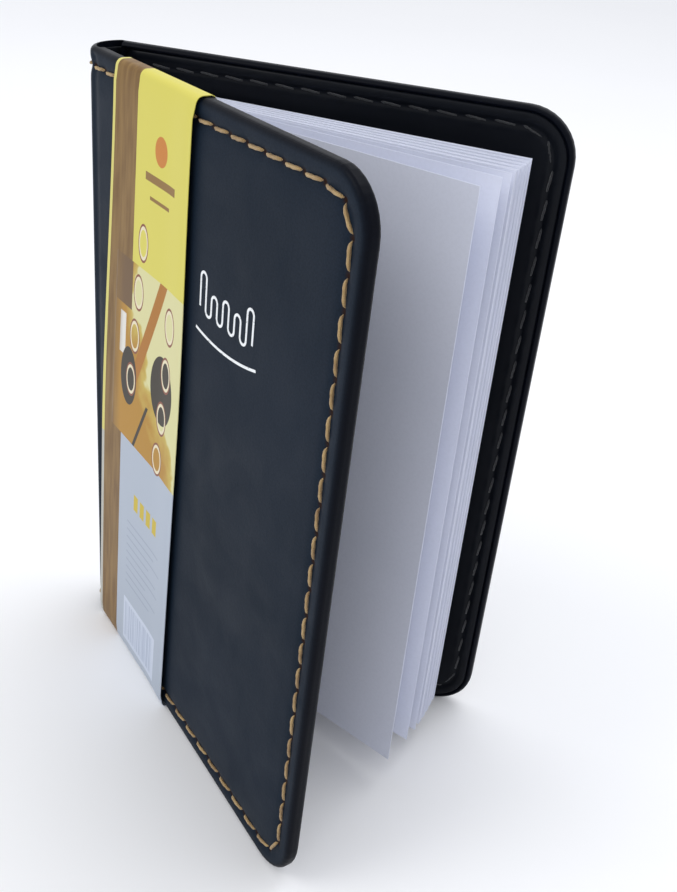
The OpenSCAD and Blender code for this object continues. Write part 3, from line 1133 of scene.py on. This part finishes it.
class NOTEBOOK_OT_inner_layers(bpy.types.Operator):
    """Gives the padding, boards, hinge cloth, glue and foil their materials"""
    bl_idname = "notebook.inner_layers"
    bl_label = "Inner layers and foil"

    def execute(self, context):
        wadding = carried_material("Non-woven wadding", "CFCABA", "A9A390", 0.6, 0.95, 0.15)
        board = carried_material("Greyboard", "968E7C", "7A7263", 0.4, 0.9, 0.05)
        cloth = carried_material("Mull cloth", "DDD8CB", "A39D8D", 0.9, 0.9, 0.1, weave=True)
        glue = carried_material("Hot-melt glue", "E6DFC8", "CFC6A8", 2.5, 0.35, 0.1)
        for key, look in (("rear_foam_pad", wadding), ("rear_board", board), ("spine_stiffener", board),
                          ("hinge_cloth", cloth), ("binding_glue", glue)):
            mesh = frame["nodes"][key].data
            mesh.materials.clear()
            mesh.materials.append(look)
        foil, apart = stamped_foil(colours()), 8 * MM
        for key, look, cuts, proud, kind in (
            ("front_foam_pad", wadding, apart, 0, "padding"),
            ("front_board", board, apart, 0, "board"),
            ("front_foil_mark", foil, 0, 0.11 * MM, "foil"),
        ):
            piece = finish_piece(follow_warp(key, cuts, proud), look, "front_cover", 30, (key,))
        # The hinge cloth, one strip with a crease along it up the block's spine and then under the
        # lining, only gets its material above.
        return {"FINISHED"}


# ---------------------------------------------------------------- stage

def area_light(name, place, aim, size, power, colour):
    light = bpy.data.lights.new(name, "AREA")
    light.shape = "DISK"
    light.size, light.energy, light.color = size, power, colour
    lamp = bpy.data.objects.new(name, light)
    put_in_scene(lamp)
    lamp.location = place
    lamp.rotation_euler = (Vector(aim) - Vector(place)).to_track_quat("-Z", "Y").to_euler()


class NOTEBOOK_OT_stage(bpy.types.Operator):
    """Lays the pale floor and sets the lights and the camera"""
    bl_idname = "notebook.stage"
    bl_label = "Stage"

    def execute(self, context):
        start_fresh()
        bpy.ops.mesh.primitive_grid_add(x_subdivisions=8, y_subdivisions=8, size=6)
        floor = bpy.context.object
        floor.name = "studio_floor"
        mat, t, surface = new_material("Studio paper floor", Roughness=0.9, Specular_IOR_Level=0.2)
        patches = {"Vector": object_place(t), "Scale": 3.0, "Detail": 2.0}
        soft = add(t, "TexNoise", patches).outputs["Fac"]
        t.links.new(mix(t, soft, linear("F6F6F7"), linear("F1F1F3")), surface.inputs["Base Color"])
        floor.data.materials.append(mat)

        world = bpy.data.worlds.new("studio")
        world.use_nodes = True
        sky = world.node_tree.nodes["Background"]
        sky.inputs["Color"].default_value = linear("F4F6FA")
        sky.inputs["Strength"].default_value = 1.0
        bpy.context.scene.world = world
        bpy.context.scene.view_settings.view_transform = "Standard"
        middle = (0, 0, 0.06)
        area_light("key", (-0.45, -0.4, 0.75), middle, 0.4, 1.6, (1.0, 0.99, 0.96))
        area_light("top", (0.15, 0.2, 0.85), middle, 0.5, 1.8, (0.97, 0.98, 1.0))

        camera = bpy.data.cameras.new("camera")
        view = bpy.data.objects.new("camera", camera)
        put_in_scene(view)
        level_back = Vector((math.sin(AZIMUTH), -math.cos(AZIMUTH), 0))
        back = level_back * math.cos(ELEVATION) + Vector((0, 0, math.sin(ELEVATION)))
        right = Vector((math.cos(AZIMUTH), math.sin(AZIMUTH), 0))
        up = back.cross(right)
        rolled_right = right * math.cos(ROLL) + up * math.sin(ROLL)
        rolled_up = up * math.cos(ROLL) - right * math.sin(ROLL)
        turn = Matrix((rolled_right, rolled_up, back)).transposed().to_4x4()
        turn.translation = CAMERA_PLACE + Vector((REAR_PIVOT.x, REAR_HIGH.y, 0))
        view.matrix_world = turn
        camera.sensor_width = 36
        camera.lens, camera.shift_x, camera.shift_y = LENS_MM, SHIFT_X, SHIFT_Y
        bpy.context.scene.camera = view
        return {"FINISHED"}


class NOTEBOOK_PT_panel(bpy.types.Panel):
    """Lists the notebook's pieces and settings"""
    bl_label = "Pocket notebook"
    bl_idname = "NOTEBOOK_PT_panel"
    bl_space_type = "VIEW_3D"
    bl_region_type = "UI"
    bl_category = "Notebook"

    def draw(self, context):
        for group in (context.scene.notebook_sizes, context.scene.notebook_colours):
            for key in group.bl_rna.properties.keys():
                if key not in ("rna_type", "name"):
                    self.layout.prop(group, key)
        for step in STEPS:
            self.layout.operator(step.bl_idname)


STEPS = (NOTEBOOK_OT_stage, NOTEBOOK_OT_covers, NOTEBOOK_OT_linings, NOTEBOOK_OT_threads,
         NOTEBOOK_OT_pages, NOTEBOOK_OT_band, NOTEBOOK_OT_inner_layers)
CLASSES = (NotebookColours, NotebookSizes, *STEPS, NOTEBOOK_PT_panel)


def register():
    for c in CLASSES:
        bpy.utils.register_class(c)
    bpy.types.Scene.notebook_colours = bpy.props.PointerProperty(type=NotebookColours)
    bpy.types.Scene.notebook_sizes = bpy.props.PointerProperty(type=NotebookSizes)


def unregister():
    del bpy.types.Scene.notebook_sizes
    del bpy.types.Scene.notebook_colours
    for c in reversed(CLASSES):
        bpy.utils.unregister_class(c)


def main():
    register()
    bpy.ops.notebook.stage()
    bpy.ops.notebook.covers()
    bpy.ops.notebook.linings()
    bpy.ops.notebook.threads()
    bpy.ops.notebook.pages()
    bpy.ops.notebook.band()
    bpy.ops.notebook.inner_layers()


if __name__ == "__main__":
    main()
